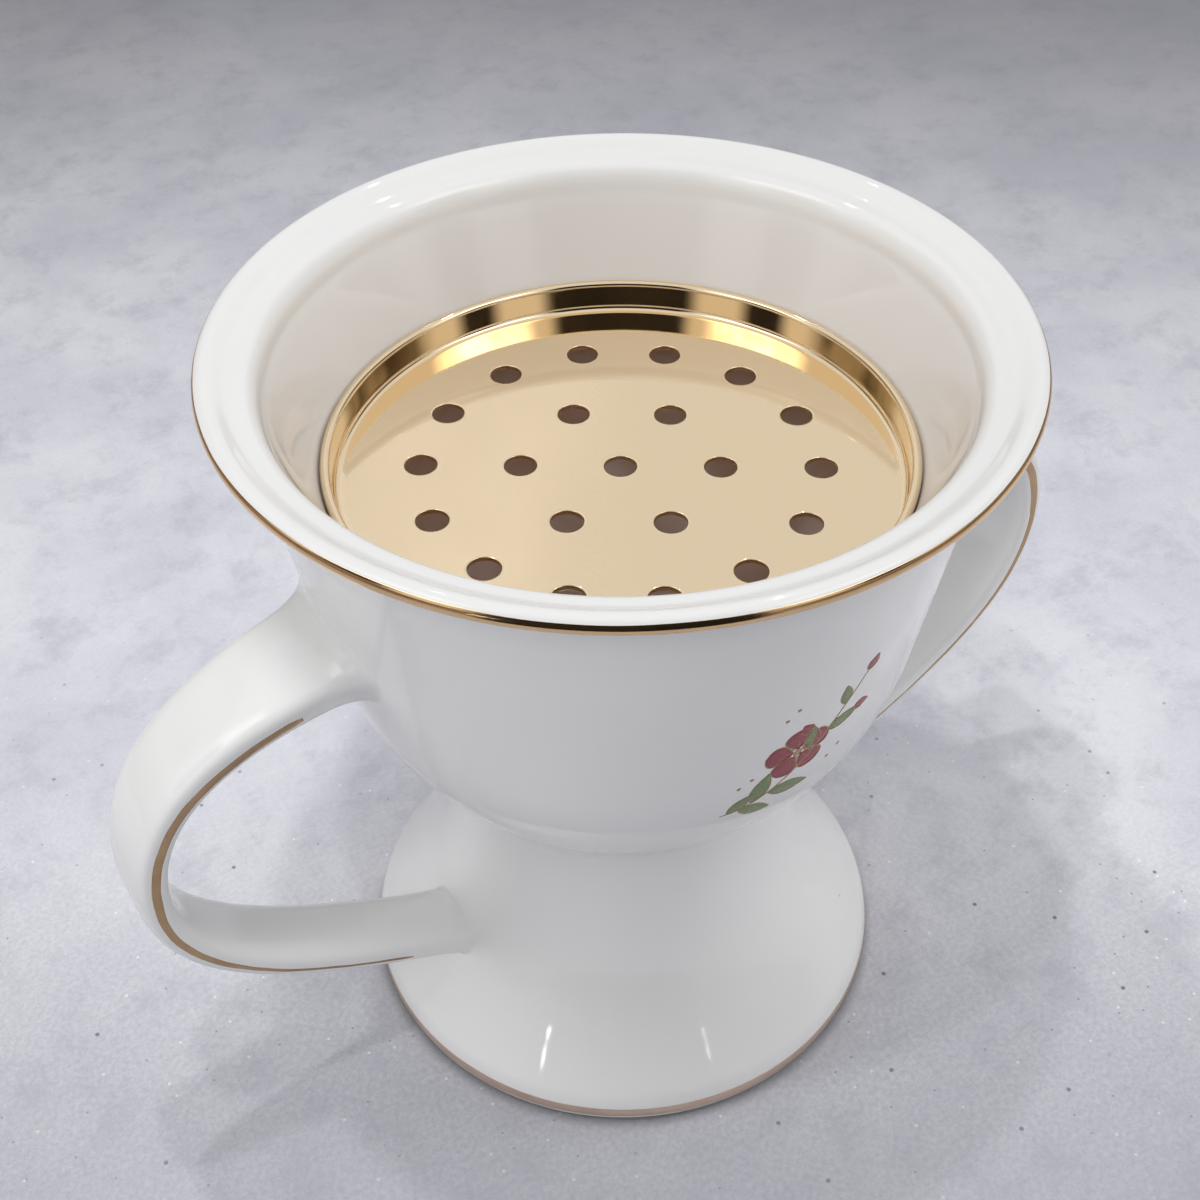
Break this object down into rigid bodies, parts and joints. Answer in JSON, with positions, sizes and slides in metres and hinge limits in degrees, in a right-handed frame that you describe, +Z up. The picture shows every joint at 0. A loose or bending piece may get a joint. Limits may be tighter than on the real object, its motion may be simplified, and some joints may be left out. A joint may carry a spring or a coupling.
{
  "type": "two-handled footed cup",
  "caption": "Footed porcelain cup with strap handles and gilt lines, carrying a lift-out perforated metal pan for embers.",
  "frame": {"origin": "middle of the foot's resting face", "axes": "+Z up along the cup's axis, handles along +X and -X, front of the bowl towards -Y"},
  "size_m": [0.1562, 0.1086, 0.1185],
  "materials": {
    "porcelain": "glossy white glaze",
    "gilt": "fired gold line",
    "pan_gold": "mirror polished gold"
  },
  "bodies": {
    "cup": {"bowl": "porcelain", "pedestal_foot": "porcelain", "left_handle": "porcelain", "right_handle": "porcelain", "rim_gilt_band": "gilt", "foot_gilt_band": "gilt", "left_handle_front_line": "gilt", "left_handle_back_line": "gilt", "right_handle_front_line": "gilt", "right_handle_back_line": "gilt"},
    "pan": {"perforated_pan": "pan_gold"}
  },
  "joints": [
    {"name": "pan_lift", "type": "slide", "parent": "cup", "child": "pan", "axis": [0, 0, 1], "range_m": [0, 0.06]}
  ]
}
